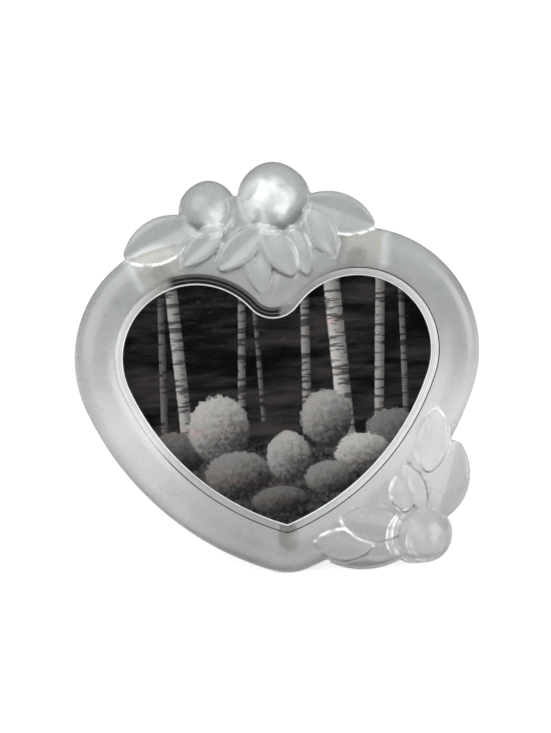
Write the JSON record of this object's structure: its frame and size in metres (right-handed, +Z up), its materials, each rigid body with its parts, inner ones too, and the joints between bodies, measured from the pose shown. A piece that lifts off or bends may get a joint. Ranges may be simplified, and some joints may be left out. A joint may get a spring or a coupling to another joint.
{
  "type": "heart shaped photo frame",
  "caption": "Heart shaped pressed glass photo frame with berries and leaves in relief, a heart shaped print, turn clips and an easel leg.",
  "frame": {"origin": "middle of the flat ground on the glass's lowest point, where it stands on the table", "axes": "+Z up, +X to the viewer's right of the picture, +Y away from the viewer towards the easel leg's foot"},
  "size_m": [0.1418, 0.0654, 0.138],
  "materials": {
    "pressed_glass": "satin",
    "print": "gloss",
    "card": "matte",
    "board": "matte",
    "velvet": "matte",
    "glue": "gloss",
    "clip": "gloss",
    "hinge": "satin",
    "rivet": "satin"
  },
  "bodies": {
    "frame": {"glass_body": "pressed_glass", "photo_print": "print", "filler_card": "card", "backing_board": "board", "backing_velvet": "velvet", "glue_pad_left": "glue", "glue_pad_right": "glue", "glue_pad_bottom": "glue", "clip_stud_left": "clip", "clip_stud_right": "clip", "clip_stud_bottom": "clip", "hinge_fixed_leaf": "hinge", "hinge_pin": "hinge", "fixed_leaf_rivets": "rivet"},
    "leg": {"hinge_moving_leaf": "hinge", "moving_leaf_rivets": "rivet", "leg_board": "board", "leg_velvet": "velvet"},
    "clip_arm_left": {"clip_arm_left": "clip"},
    "clip_arm_right": {"clip_arm_right": "clip"},
    "clip_arm_bottom": {"clip_arm_bottom": "clip"}
  },
  "joints": [
    {"name": "leg_fold", "type": "hinge", "parent": "frame", "child": "leg", "pos_m": [0, 0.02831, 0.06838], "axis": [-1, 0, 0], "range_deg": [0, 34.5]},
    {"name": "clip_arm_left_turn", "type": "hinge", "parent": "frame", "child": "clip_arm_left", "pos_m": [-0.03836, 0.03661, 0.09912], "axis": [0, -0.9511, 0.309], "range_deg": [-90, 90]},
    {"name": "clip_arm_right_turn", "type": "hinge", "parent": "frame", "child": "clip_arm_right", "pos_m": [0.03038, 0.03712, 0.10066], "axis": [0, -0.9511, 0.309], "range_deg": [-90, 90]},
    {"name": "clip_arm_bottom_turn", "type": "hinge", "parent": "frame", "child": "clip_arm_bottom", "pos_m": [0, 0.00736, 0.00907], "axis": [0, -0.9511, 0.309], "range_deg": [-90, 90]}
  ]
}
